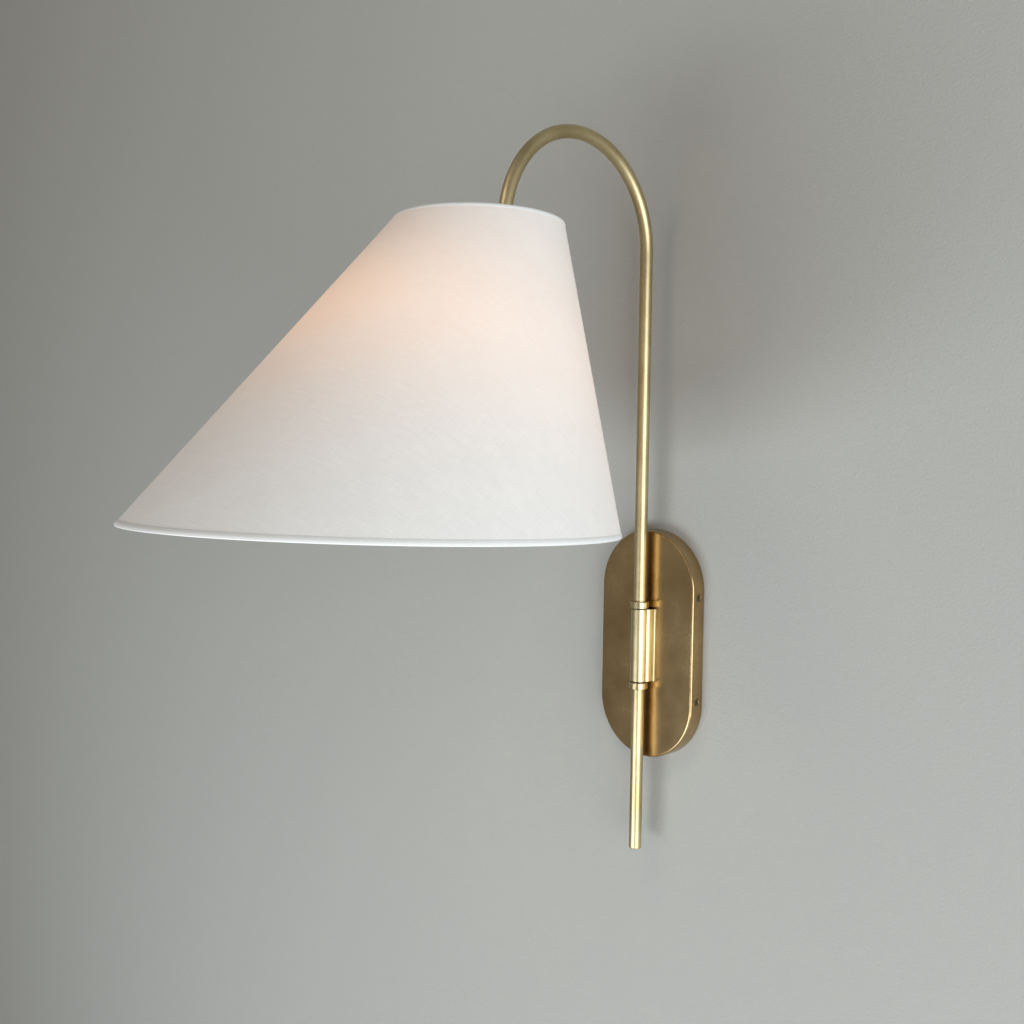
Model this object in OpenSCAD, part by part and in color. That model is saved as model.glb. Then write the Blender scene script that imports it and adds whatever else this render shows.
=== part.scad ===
// Swing arm wall sconce: a pill-shaped wall plate carries a barrel in which a bent brass
// tube swings, and the tube holds a lamp under a lopsided linen cone.
// The origin is the centre of the plate's back face. +Y goes into the wall, -Y into the
// room and +Z up.

/* [Wall plate] */
// Width of the pill-shaped wall plate
plate_w = 117.5; // [98:0.5:141]
// Height of the wall plate
plate_h = 232; // [194:1:280]
// Depth of the wall plate, from the wall to its front face
plate_d = 17.5; // [17:0.5:25]
// Thickness of the plate's front face
plate_face = 2; // [1.5:0.1:2.5]
// Thickness of the plate's side wall
plate_wall = 2.5; // [2.4:0.1:4]
// Radius of the plate's rounded front edge
plate_edge = 2; // [0.5:0.1:2]
// Distance from each side screw to the end of the straight side
side_screw_inset = 5.25; // [5:0.25:10]

/* [Mounting bracket] */
// Thickness of the bracket's sheet
bracket_t = 2; // [1.5:0.1:2.5]
// Gap between the bracket's flanges and the plate's side wall
bracket_gap = 0.25; // [0.1:0.05:0.5]
// Depth of the bracket's flanges, from the wall
flange_d = 12; // [11.5:0.5:13]
// Spacing of the two junction box screws
box_screw_spacing = 88.9; // [70:0.1:105]
// Diameter of the holes for the junction box screws
box_hole_d = 4.8; // [4.4:0.1:6]

/* [Pivot] */
// Gap between the plate's face and the two collars
collar_plate_gap = 1; // [0.5:0.1:6]
// Wall of the barrel round the bushes
barrel_wall = 1.25; // [1:0.05:2]
// Height of the barrel
barrel_h = 73; // [62:1:95]
// Wall of the sleeve of each bush
bush_wall = 0.9; // [0.7:0.05:1.2]
// Length of the sleeve of each bush
bush_l = 12; // [8:0.5:15]
// Thickness of the flange of each bush
bush_flange = 1; // [0.6:0.1:1.5]
// Radial running clearance between the rod and a bush
running_gap = 0.05; // [0.02:0.01:0.08]
// Gap between a collar and the bush it runs on
thrust_gap = 0.1; // [0.05:0.05:0.3]
// Wall of the two collars
collar_wall = 3.1; // [2.5:0.1:5]
// Height of each collar
collar_h = 7; // [5:0.5:10]
// How far the barrel's shoulder stands out beyond the barrel on each side
shoulder_step = 1.8; // [0.5:0.1:3]
// How far the foot stands out beyond the shoulder on each side
foot_step = 2.5; // [1:0.1:5]
// Thickness of the foot
foot_t = 2.1; // [1.5:0.1:3]
// Distance between the screws that hold the pivot block
block_screw_spacing = 52; // [40:1:52]

/* [Arm] */
// Outer diameter of the bent tube
tube_d = 12.7; // [12:0.05:16]
// Wall of the bent tube
tube_wall = 1; // [0.8:0.1:1.2]
// Height of the arch's ends above the centre of the plate
spring_z = 393; // [330:1:470]
// Radius of the arch, on the tube's centre line
arch_r = 98; // [82:1:118]
// Length of the straight drop from the arch to the tube's end
drop_l = 17; // [14:1:21]
// Length of the rod below the centre of the plate, with its end plug
tail_l = 209; // [120:1:260]
// Largest swing of the arm to either side, in degrees
swing = 55; // [30:1:57]

/* [Shade] */
// Radius of the shade's top edge
shade_top_r = 73; // [62:1:88]
// Radius of the shade's bottom edge
shade_bottom_r = 198.3; // [166:0.1:238]
// Height of the shade, square to its rings
shade_h = 262.6; // [220:0.1:315]
// How far the bottom ring is shifted outwards from the top ring
shade_lean = 104; // [0:1:125]
// How far the shade's top ring is shifted outwards from the tube's end
shade_shift = 29.3; // [0:0.1:35]
// How far the shade's outer side is tilted up, in degrees
shade_tilt = 1.5; // [0:0.1:3]
// Distance from the arch's ends down to the top of the shade
shade_below_arch = 3; // [0:0.5:6]
// Distance from the top of the shade down to the spider's hub
hub_drop = 20; // [18:1:24]
// Thickness of the linen
linen_t = 0.6; // [0.4:0.1:1]
// Thickness of the stiff liner
liner_t = 0.8; // [0.5:0.1:1.2]
// Diameter of the wire of the shade's rings
ring_wire_d = 3; // [2.5:0.1:3.6]
// Height of the hem band
hem_h = 4; // [3:0.5:8]
// Height of the band on the top edge
top_band_h = 2.5; // [1.5:0.5:5]
// Thickness of the bands
band_t = 0.3; // [0.2:0.1:0.5]

/* [Lamp] */
// How far the lamp leans outwards, in degrees
lamp_lean = 30; // [20:1:33]
// Outer diameter of the lamp holder
holder_d = 35; // [34:0.5:40]
// Radius of the lamp's round end
bulb_r = 30; // [25:0.5:32]
// Overall length of the lamp
bulb_l = 109; // [100:1:112]

/* [Hidden] */

$fn = 96;
cut = 1;              // how far a cutting body runs past the face it cuts
fit_gap = 0.05;       // radial gap of pieces that are screwed or pushed together
hole_gap = 0.25;      // radial gap of a screw in a plain hole

// colours
brass = [0.66, 0.53, 0.34];
steel = [0.72, 0.72, 0.70];
dark_plastic = [0.08, 0.08, 0.08];
linen_white = [0.93, 0.92, 0.90];

// wall plate and bracket
straight_half = (plate_h - plate_w) / 2;
side_screw_z = straight_half - side_screw_inset;
side_screw_y = -plate_d / 2;
side_screw_d = 4;
side_head_d = 7.7;
side_head_h = 1.9;
side_head_sunk = 0.3;
side_head_gap = 0.35;
cross_w = 1.3;        // slots of the side screws' cross recess
cross_l = 4.6;
cross_depth = 1.3;
side_screw_l = 8;
bracket_half_w = plate_w / 2 - plate_wall - bracket_gap;
bracket_half_h = side_screw_z + side_screw_inset - bracket_gap;
strap_half_w = 15;
strap_end = 8;
window_w = 56;
window_h = 20;
window_z = 22;
ground_screw_at = [-42, -10];
ground_head_h = 2.4;
ground_slot = 1;
ground_ring_r = 4.6;
ground_ring_t = 1;
ground_wire_r = 0.8;
ground_wire_y = -(bracket_t + ground_wire_r + 0.1);
ground_wire_end = ground_screw_at[1] - 16;

// pivot
rod_r = tube_d / 2;
bush_bore_r = rod_r + running_gap;
bush_d = 2 * (bush_bore_r + bush_wall + fit_gap);
barrel_d = bush_d + 2 * barrel_wall;
collar_d = tube_d + 2 * (fit_gap + collar_wall);
shoulder_w = barrel_d + 2 * shoulder_step;
foot_w = shoulder_w + 2 * foot_step;
standoff = max(barrel_d, collar_d) / 2 + collar_plate_gap;
axis_y = -(plate_d + standoff);
block_screw_d = 4;
block_screw_bite = 3;
block_head_d = 7;
block_head_h = 2.6;
bush_flange_r = barrel_d / 2 - 0.9;
bore_mid_r = rod_r + 0.3;
shoulder_edge = 5.3;
foot_edge = 1.2;
passage_r = 3.3;
grommet_wall = 1.2;
grommet_seat = 1.8;
grommet_flange_r = 6.5;
grommet_flange_t = 1;
collar_edge = 0.6;
collar_relief = 0.7;  // step round the rod at each collar's outer end
block_key_r = 1.9;
collar_z = barrel_h / 2 + bush_flange + thrust_gap;
set_screw_d = 3;
set_screw_angle = 135;
set_key_r = 0.85;
slot_h = 8;
// The wire slot opens the rod behind this distance from its axis, so that the grommet's
// bore stays clear at both ends of the swing
slot_back = rod_r * cos(swing + asin(passage_r / rod_r));

// arm
tube_bore_r = rod_r - tube_wall;
drop_y = axis_y - 2 * arch_r;
tube_end_z = spring_z - drop_l;
plug_head = 3;
plug_edge = 1.5;
plug_stem = 10;

// lead wires
lead_r = 1;
lead_x = 1.2;
lead_bend_r = 4;
lead_end_gap = 0.45;   // from the rod's face to the leads' ends in its slot
lead_side_r = 2;
lead_sides = 8;
lead_clear = 1.5;      // straight stretch between the grommet and the lead's bend
canopy_lead_y = -plate_d + plate_face + grommet_flange_t + lead_clear + lead_bend_r;
connector_start_x = 20;
connector_l = 22;
connector_skirt = 0.35 * connector_l;
connector_r = [3.6, 4.8];
connector_rib = [1.1, 0.7];

// fittings between the tube and the lamp holder
top_z = spring_z - shade_below_arch;
hub_z = top_z - hub_drop;
thread_r = 4.9;
coupler_wall = 2.65;
coupler_r = rod_r + coupler_wall;
coupler_cup = 10;
nipple_in_coupler = 5;
hub_t = 1.5;
hub_r = 14;
nut_h = 5;
nut_r = 9.5;
elbow_r = 7.4;
elbow_ball_r = 8.6;
elbow_up = 10;
elbow_down = 9.5;
elbow_stub = 7;
elbow_z = hub_z - hub_t - nut_h - elbow_up;
nipple_in_elbow = 6;
elbow_bend_r = 12;

// lamp holder, measured down its own axis from the elbow's corner
holder_r = holder_d / 2;
cap_l = 14;
cap_wall = 1.2;
cap_edge = 3;
cap_end = elbow_down + cap_l;
cap_nut_r = 8.5;
cap_nut_t = 3;
neck_l = 5;
chamber_r = 12;
floor_at = cap_end + 3;
floor_t = 6;
pocket_at = floor_at + floor_t;
holder_end = cap_end + 38;
shell_r = 14.2;
shell_wall = 0.5;
pocket_r = shell_r + 0.1;
shell_inset = [1, 2];  // from the pocket's floor and from the holder's mouth
contact_t = 0.8;
contact_r = 5;
rivet_r = 1.5;
rivet_head_r = 3;
rivet_head_h = 1;
terminal_x = 8.5;
terminal_head_h = 2;
terminal_screw_l = 3.5;
lead_end_at = floor_at - terminal_head_h - lead_r;

// lamp, measured the same way
bulb_foot = pocket_at + contact_t + 0.1;
base_r = 13;
base_wall = 0.8;
base_shoulder = 1;
base_seat_r = 5;       // where the base's cone starts round the foot contact
foot_contact_r = 4.5;
base_cone = 2.6;
base_thread = base_cone + 4.5;
base_end = bulb_foot + 29;
bulb_tip = bulb_foot + bulb_l;
bulb_mid = bulb_tip - bulb_r;
diffuser_at = bulb_mid - 0.53 * bulb_r;
diffuser_wall = 1.5;
diffuser_start_r = sqrt(pow(bulb_r, 2) - pow(bulb_mid - diffuser_at, 2));
housing_wall = 1.8;
neck_r = 14.5;
housing_steps = 10;
board_t = 1.6;
board_up = 1;          // from the board to the diffuser's edge
board_r = 0.8;         // how far along the swelling the housing's radius is taken
board_gap = 0.2;

// shade
shade_y = drop_y - shade_shift;
sheet_t = linen_t + liner_t;
ring_r = ring_wire_d / 2;
ring_up = ring_r + 1.7;   // from a ring's wire to the shade's edge, with the band's fold
ring_in = ring_r + 0.8;   // horizontal distance from the liner to the wire's centre
sides = 96;
spider_arms = [90, 210, 330];
arm_strip_w = 6;
riser_r = 1.2;

// Radius of the cone's outer face at a depth below its top edge
function cone_r(drop) = shade_top_r + (shade_bottom_r - shade_top_r) * drop / shade_h;

// Sideways place of the cone's centre at a depth below its top edge
function cone_y(drop) = -shade_lean * drop / shade_h;

// One ring of the cone's points at [depth below the top edge, distance in from the face]
function cone_ring(at) = [for (i = [0 : sides - 1])
    let (a = 360 * i / sides, r = cone_r(at[0]) - at[1])
    [r * cos(a), cone_y(at[0]) + r * sin(a), -at[0]]];

// ---- shared shapes ----

// Disc lying on z = 0, with its upper edge rounded
module rounded_disc(r, h, edge) {
    rotate_extrude() {
        square([r - edge, h]);
        square([r, h - edge]);
        translate([r - edge, h - edge])
            intersection() {
                circle(edge);
                square(edge);
            }
    }
}

// Pill-shaped slab standing out of the wall, with its front edge rounded
module pill(w, h, d, edge) {
    r = w / 2;
    reach = (h - w) / 2;
    for (side = [-1, 1])
        translate([0, 0, side * reach]) rotate([90, 0, 0]) rounded_disc(r, d, edge);
    translate([0, 0, -reach]) linear_extrude(2 * reach) {
        translate([-r, -(d - edge)]) square([w, d - edge]);
        translate([-(r - edge), -d]) square([w - 2 * edge, d]);
        for (side = [-1, 1]) translate([side * (r - edge), -(d - edge)]) circle(edge);
    }
}

// Cylinder along +Y from a point
module rod_y(at, r, l) {
    translate(at) rotate([-90, 0, 0]) cylinder(r = r, h = l);
}

// Cylinder along +X from a point
module rod_x(at, r, l) {
    translate(at) rotate([0, 90, 0]) cylinder(r = r, h = l);
}

// Closed sheet that follows the leaning cone, from a section of [depth, distance in] points
module cone_sheet(section) {
    n = len(section);
    polyhedron(
        points = [for (at = section) each cone_ring(at)],
        faces = [for (j = [0 : n - 1], i = [0 : sides - 1])
            let (k = (j + 1) % n, m = (i + 1) % sides)
            each [[j * sides + i, k * sides + m, k * sides + i],
                [j * sides + i, j * sides + m, k * sides + m]]]);
}

// Places a piece in the shade's own frame: top ring's centre, tilted up on the outer side
module in_shade() {
    translate([0, shade_y, top_z]) rotate([-shade_tilt, 0, 0]) children();
}

// Wire ring that follows the cone at a depth below its top edge
module wire_ring(drop) {
    translate([0, cone_y(drop), -drop])
        rotate_extrude() translate([cone_r(drop) - sheet_t - ring_in, 0]) circle(ring_r);
}

// Places a piece on the lamp holder's axis: z = 0 is the elbow's corner and -z goes down it
module in_holder() {
    translate([0, drop_y, elbow_z]) rotate([-lamp_lean, 0, 0]) children();
}

// Cylinder down the lamp holder's axis, between two depths
module holder_rod(from, to, r) {
    translate([0, 0, -to]) cylinder(r = r, h = to - from);
}

// ---- fixed to the wall ----

module side_screw_places() {
    for (side = [-1, 1], z = [-1, 1])
        translate([side * plate_w / 2, side_screw_y, z * side_screw_z])
            rotate([0, -side * 90, 0]) children();
}

module wall_plate() color(brass) {
    difference() {
        pill(plate_w, plate_h, plate_d, plate_edge);
        translate([0, cut, 0])
            pill(plate_w - 2 * plate_wall, plate_h - 2 * plate_wall,
                plate_d - plate_face + cut, 0.01);
        side_screw_places() {
            translate([0, 0, -cut])
                cylinder(d = side_head_d + 2 * side_head_gap, h = cut + side_head_sunk);
            translate([0, 0, side_head_sunk])
                cylinder(d1 = side_head_d + 2 * side_head_gap,
                    d2 = side_screw_d + 2 * side_head_gap, h = side_head_h);
            cylinder(d = side_screw_d + 2 * hole_gap, h = plate_wall + cut);
        }
        for (z = [-1, 1])
            rod_y([0, -plate_d - cut, z * block_screw_spacing / 2],
                block_screw_d / 2 + hole_gap, plate_face + 2 * cut);
        rod_y([0, -plate_d - cut, 0], passage_r + grommet_wall + fit_gap,
            plate_face + 2 * cut);
    }
}

module mounting_bracket() color(steel) {
    flange_in = bracket_half_w - bracket_t;
    strap_half_h = box_screw_spacing / 2 + strap_end;
    difference() {
        union() {
            translate([-bracket_half_w, -bracket_t, -bracket_half_h])
                cube([2 * bracket_half_w, bracket_t, 2 * bracket_half_h]);
            translate([-strap_half_w, -bracket_t, -strap_half_h])
                cube([2 * strap_half_w, bracket_t, 2 * strap_half_h]);
            for (x = [-bracket_half_w, flange_in])
                translate([x, -flange_d, -bracket_half_h])
                    cube([bracket_t, flange_d, 2 * bracket_half_h]);
        }
        for (z = [-1, 1]) {
            rod_y([0, -bracket_t - cut, z * box_screw_spacing / 2], box_hole_d / 2,
                bracket_t + 2 * cut);
            translate([-window_w / 2, -bracket_t - cut, z * window_z - window_h / 2])
                cube([window_w, bracket_t + 2 * cut, window_h]);
        }
        rod_x([-bracket_half_w - cut, side_screw_y, side_screw_z],
            side_screw_d / 2 + fit_gap, 2 * bracket_half_w + 2 * cut);
        rod_x([-bracket_half_w - cut, side_screw_y, -side_screw_z],
            side_screw_d / 2 + fit_gap, 2 * bracket_half_w + 2 * cut);
        rod_y([ground_screw_at[0], -bracket_t - cut, ground_screw_at[1]],
            side_screw_d / 2 + fit_gap, bracket_t + 2 * cut);
    }
}

module plate_side_screws() color(brass) {
    side_screw_places() difference() {
        union() {
            translate([0, 0, side_head_sunk])
                cylinder(d1 = side_head_d, d2 = side_screw_d, h = side_head_h);
            translate([0, 0, side_head_sunk]) cylinder(d = side_screw_d, h = side_screw_l);
        }
        for (slot = [[cross_w, cross_l], [cross_l, cross_w]])
            translate([-slot[0] / 2, -slot[1] / 2, 0])
                cube([slot[0], slot[1], side_head_sunk + cross_depth]);
    }
}

module ground_screw() color([0.10, 0.42, 0.20]) {
    at = [ground_screw_at[0], -bracket_t - ground_ring_t, ground_screw_at[1]];
    difference() {
        union() {
            rod_y(at, side_screw_d / 2, bracket_t + ground_ring_t);
            rod_y(at - [0, ground_head_h, 0], side_head_d / 2, ground_head_h);
        }
        translate(at - [side_head_d / 2 + cut, ground_head_h + cut, ground_slot / 2])
            cube([side_head_d + 2 * cut, ground_slot + cut, ground_slot]);
    }
}

// Outline from y = 0 forwards, with rounded front corners
module round_fronted(w, d, edge) {
    intersection() {
        translate([-w / 2, -d]) square([w, d]);
        union() {
            translate([-w / 2, edge - d]) square([w, d]);
            translate([edge - w / 2, -d]) square([w - 2 * edge, d]);
            for (side = [-1, 1]) translate([side * (w / 2 - edge), edge - d]) circle(edge);
        }
    }
}

module pivot_block() color(brass) {
    difference() {
        union() {
            translate([0, axis_y, -barrel_h / 2]) cylinder(d = barrel_d, h = barrel_h);
            translate([0, -plate_d, -barrel_h / 2]) linear_extrude(barrel_h) {
                round_fronted(shoulder_w, standoff, shoulder_edge);
                round_fronted(foot_w, foot_t, foot_edge);
            }
        }
        translate([0, axis_y, -barrel_h / 2 - cut])
            cylinder(r = bore_mid_r, h = barrel_h + 2 * cut);
        for (z = [-barrel_h / 2 - cut, barrel_h / 2 - bush_l])
            translate([0, axis_y, z]) cylinder(d = bush_d, h = bush_l + cut);
        rod_y([0, axis_y, 0], passage_r, standoff + cut);
        rod_y([0, -plate_d - grommet_seat, 0], passage_r + grommet_wall + fit_gap,
            grommet_seat + cut);
        for (z = [-1, 1])
            rod_y([0, -plate_d - block_screw_bite, z * block_screw_spacing / 2],
                block_screw_d / 2 + fit_gap, block_screw_bite + cut);
    }
}

module pivot_block_screws() color(steel) {
    shank = plate_face + block_screw_bite - 0.2;
    for (z = [-1, 1]) difference() {
        union() {
            rod_y([0, -plate_d + plate_face - shank, z * block_screw_spacing / 2],
                block_screw_d / 2, shank);
            rod_y([0, -plate_d + plate_face, z * block_screw_spacing / 2],
                block_head_d / 2, block_head_h);
        }
        translate([0, -plate_d + plate_face + 1, z * block_screw_spacing / 2])
            rotate([-90, 0, 0]) cylinder(r = block_key_r, h = block_head_h, $fn = 6);
    }
}

// Flanged sleeve with its flange on top, seated on the top of the barrel
module bush() {
    difference() {
        union() {
            translate([0, 0, -bush_l]) cylinder(d = bush_d - 2 * fit_gap, h = bush_l);
            cylinder(r = bush_flange_r, h = bush_flange);
        }
        translate([0, 0, -bush_l - cut])
            cylinder(r = bush_bore_r, h = bush_l + bush_flange + 2 * cut);
    }
}

module upper_bush() color(dark_plastic) translate([0, axis_y, barrel_h / 2]) bush();

module lower_bush() color(dark_plastic)
    translate([0, axis_y, -barrel_h / 2]) rotate([180, 0, 0]) bush();

module wire_grommet() color(dark_plastic) {
    front = -plate_d - grommet_seat + fit_gap;
    back = -plate_d + plate_face;
    difference() {
        union() {
            rod_y([0, front, 0], passage_r + grommet_wall, back - front);
            rod_y([0, back, 0], grommet_flange_r, grommet_flange_t);
        }
        rod_y([0, front - cut, 0], passage_r, back - front + grommet_flange_t + 2 * cut);
    }
}

// Lead from the barrel's bore through the grommet, bent outwards to its wire connector
module canopy_lead(side) {
    start = axis_y + bore_mid_r + fit_gap;
    bend_y = canopy_lead_y - lead_bend_r;
    rod_y([side * lead_x, start, 0], lead_r, bend_y - start);
    translate([side * (lead_x + lead_bend_r), bend_y, 0]) rotate([0, 0, side > 0 ? 90 : 0])
        rotate_extrude(angle = 90) translate([lead_bend_r, 0]) circle(lead_r, $fn = 32);
    run = connector_start_x - lead_x - lead_bend_r;
    rod_x([side > 0 ? connector_start_x - run : -connector_start_x, canopy_lead_y, 0],
        lead_r, run);
}

module canopy_lead_black() color([0.06, 0.06, 0.06]) canopy_lead(1);

module canopy_lead_white() color([0.90, 0.90, 0.88]) canopy_lead(-1);

// Ring under the ground screw's head, and the bare wire from it to its connector
module ground_lead() color([0.72, 0.42, 0.25]) {
    at = [ground_screw_at[0], -bracket_t - ground_ring_t, ground_screw_at[1]];
    wire_top = at[2] - ground_ring_r + 0.5;
    difference() {
        rod_y(at, ground_ring_r, ground_ring_t);
        rod_y(at - [0, cut, 0], side_screw_d / 2 + fit_gap, ground_ring_t + 2 * cut);
    }
    translate([at[0], ground_wire_y, ground_wire_end])
        cylinder(r = ground_wire_r, h = wire_top - ground_wire_end);
}

module connector() {
    cylinder(r = connector_r[1], h = connector_skirt);
    translate([0, 0, connector_skirt])
        cylinder(r1 = connector_r[1], r2 = connector_r[0], h = connector_l - connector_skirt);
    for (a = [0 : 30 : 330])
        rotate([0, 0, a])
            translate([connector_r[0] - connector_rib[0] / 2, -connector_rib[1] / 2,
                connector_l * 0.55])
                cube([connector_rib[0], connector_rib[1], connector_l * 0.45]);
}

module wire_connectors() color([0.85, 0.35, 0.10]) {
    for (side = [-1, 1])
        translate([side * connector_start_x, canopy_lead_y, 0]) rotate([0, side * 90, 0])
            connector();
    translate([ground_screw_at[0], -bracket_t - connector_r[1], ground_wire_end])
        rotate([180, 0, 0]) connector();
}

// ---- swings with the rod ----

module arm_tube() color(brass) {
    low = -tail_l + plug_head;
    difference() {
        union() {
            translate([0, axis_y, low]) cylinder(r = rod_r, h = spring_z - low);
            translate([0, axis_y - arch_r, spring_z]) rotate([90, 0, 90])
                rotate_extrude(angle = 180) translate([arch_r, 0]) circle(rod_r);
            translate([0, drop_y, tube_end_z]) cylinder(r = rod_r, h = drop_l);
        }
        translate([0, axis_y, low - cut]) cylinder(r = tube_bore_r, h = spring_z - low + cut);
        translate([0, axis_y - arch_r, spring_z]) rotate([90, 0, 90])
            rotate_extrude(angle = 180) translate([arch_r, 0]) circle(tube_bore_r);
        translate([0, drop_y, tube_end_z - cut]) cylinder(r = tube_bore_r, h = drop_l + cut);
        translate([-tube_d, axis_y + slot_back, -slot_h / 2])
            cube([2 * tube_d, tube_d, slot_h]);
    }
}

module rod_end_plug() color(brass) translate([0, axis_y, -tail_l + plug_head]) {
    rotate([180, 0, 0]) rounded_disc(rod_r, plug_head, plug_edge);
    cylinder(r = tube_bore_r - fit_gap, h = plug_stem);
}

module collar_hole(z) {
    translate([0, 0, z]) rotate([0, 0, set_screw_angle]) rotate([0, 90, 0]) children();
}

// Clamping collar standing on z = 0, stepped round the rod at its upper end
module collar() {
    difference() {
        rotate_extrude() polygon([
            [rod_r + fit_gap, 0], [collar_d / 2 - collar_edge, 0],
            [collar_d / 2, collar_edge], [collar_d / 2, collar_h - collar_edge],
            [collar_d / 2 - collar_edge, collar_h], [rod_r + collar_relief, collar_h],
            [rod_r + collar_relief, collar_h - collar_relief],
            [rod_r + fit_gap, collar_h - collar_relief]]);
        collar_hole(collar_h / 2) cylinder(d = set_screw_d + 2 * fit_gap, h = collar_d);
    }
}

module upper_collar() color(brass) translate([0, axis_y, collar_z]) collar();

module lower_collar() color(brass)
    mirror([0, 0, 1]) translate([0, axis_y, collar_z]) collar();

// Headless screw from the rod's face out to just under the face of what it is in
module set_screw(out_r) {
    difference() {
        translate([0, 0, rod_r]) cylinder(d = set_screw_d, h = out_r - rod_r - 0.2);
        translate([0, 0, rod_r + 0.8]) cylinder(r = set_key_r, h = out_r, $fn = 6);
    }
}

module collar_set_screws() color(steel) {
    for (z = [collar_z, -collar_z - collar_h])
        translate([0, axis_y, z]) collar_hole(collar_h / 2) set_screw(collar_d / 2);
}

module tube_end_coupler() color(brass) {
    difference() {
        translate([0, drop_y, hub_z]) cylinder(r = coupler_r, h = tube_end_z - hub_z + coupler_cup);
        translate([0, drop_y, tube_end_z])
            cylinder(r = rod_r + fit_gap, h = coupler_cup + cut);
        translate([0, drop_y, hub_z - cut])
            cylinder(r = thread_r + fit_gap, h = tube_end_z - hub_z + 2 * cut);
        translate([0, drop_y, tube_end_z + coupler_cup / 2]) rotate([0, 90, 0])
            cylinder(d = set_screw_d + 2 * fit_gap, h = coupler_r + cut);
    }
}

module coupler_set_screw() color(steel)
    translate([0, drop_y, tube_end_z + coupler_cup / 2]) rotate([0, 90, 0])
        set_screw(coupler_r);

module lamp_nipple() color([0.75, 0.66, 0.42]) {
    low = elbow_z + elbow_up - nipple_in_elbow;
    l = hub_z + nipple_in_coupler - low;
    difference() {
        translate([0, drop_y, low]) cylinder(r = thread_r, h = l);
        translate([0, drop_y, low - cut]) cylinder(r = passage_r, h = l + 2 * cut);
    }
}

module shade_lock_nut() color(brass) {
    z = hub_z - hub_t - nut_h;
    difference() {
        translate([0, drop_y, z]) cylinder(r = nut_r, h = nut_h, $fn = 6);
        translate([0, drop_y, z - cut]) cylinder(r = thread_r + fit_gap, h = nut_h + 2 * cut);
    }
}

module socket_elbow() color(brass) {
    end = elbow_down + elbow_stub;
    difference() {
        union() {
            translate([0, drop_y, elbow_z]) {
                cylinder(r = elbow_r, h = elbow_up);
                sphere(elbow_ball_r);
            }
            in_holder() {
                holder_rod(0, elbow_down, elbow_r);
                holder_rod(elbow_down - cut, end, thread_r);
            }
        }
        translate([0, drop_y, elbow_z]) {
            translate([0, 0, elbow_up - nipple_in_elbow])
                cylinder(r = thread_r + fit_gap, h = nipple_in_elbow + cut);
            cylinder(r = passage_r, h = elbow_up);
            sphere(passage_r + 0.5);
        }
        in_holder() holder_rod(0, end + cut, passage_r);
    }
}

module socket_cap() color(brass) in_holder() {
    difference() {
        translate([0, 0, -cap_end]) rounded_disc(holder_r, cap_l, cap_edge);
        translate([0, 0, -cap_end - cut])
            rounded_disc(holder_r - cap_wall, cap_l - cap_wall + cut, cap_edge - cap_wall);
        holder_rod(elbow_down - cut, cap_end, thread_r + fit_gap);
    }
}

module socket_cap_nut() color(steel) in_holder() {
    at = elbow_down + cap_wall;
    difference() {
        translate([0, 0, -at - cap_nut_t]) cylinder(r = cap_nut_r, h = cap_nut_t, $fn = 6);
        holder_rod(at - cut, at + cap_nut_t + cut, thread_r + fit_gap);
    }
}

module socket_body() color([0.12, 0.11, 0.11]) in_holder() {
    difference() {
        union() {
            holder_rod(cap_end - neck_l, cap_end, holder_r - cap_wall - 2 * fit_gap);
            holder_rod(cap_end, holder_end, holder_r);
        }
        holder_rod(cap_end - neck_l - cut, floor_at, chamber_r);
        holder_rod(pocket_at, holder_end + cut, pocket_r);
        holder_rod(floor_at - cut, pocket_at + cut, rivet_r + fit_gap);
        for (side = [-1, 1]) translate([side * terminal_x, 0, 0])
            holder_rod(floor_at - cut, floor_at + terminal_screw_l + 0.5, rivet_r + fit_gap);
    }
}

module socket_screw_shell() color([0.80, 0.68, 0.40]) in_holder() {
    difference() {
        holder_rod(pocket_at + shell_inset[0], holder_end - shell_inset[1], shell_r);
        holder_rod(pocket_at, holder_end, shell_r - shell_wall);
    }
}

module socket_contact() color([0.80, 0.68, 0.40]) in_holder() {
    holder_rod(floor_at - rivet_head_h, floor_at, rivet_head_r);
    holder_rod(floor_at - rivet_head_h / 2, pocket_at + contact_t / 2, rivet_r);
    holder_rod(pocket_at, pocket_at + contact_t, contact_r);
}

module terminal_screws() color(steel) in_holder() {
    for (side = [-1, 1]) translate([side * terminal_x, 0, 0]) {
        holder_rod(floor_at - terminal_head_h, floor_at, rivet_head_r);
        holder_rod(floor_at - terminal_head_h / 2, floor_at + terminal_screw_l, rivet_r);
    }
}

// One stop on a lead's route in the arm's plane: [place, first and second axis of its ring].
// turn is the heading, from +Y towards +Z, and off is the distance to the right of a centre.
function stop_at(x, centre, off, turn) =
    [[x, centre[0] + off * sin(turn), centre[1] - off * cos(turn)],
        [1, 0, 0], [0, sin(turn), -cos(turn)]];

// Last stops, where a lead turns sideways to its terminal
function side_turn(from, side, r, steps) =
    let (p = from[0], x = [1, 0, 0], v = from[2], t = cross(x, v))
    [for (i = [1 : steps]) let (a = 90 * i / steps)
        [p + side * r * (1 - cos(a)) * x + r * sin(a) * t,
            cos(a) * x - side * sin(a) * t, v]];

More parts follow.
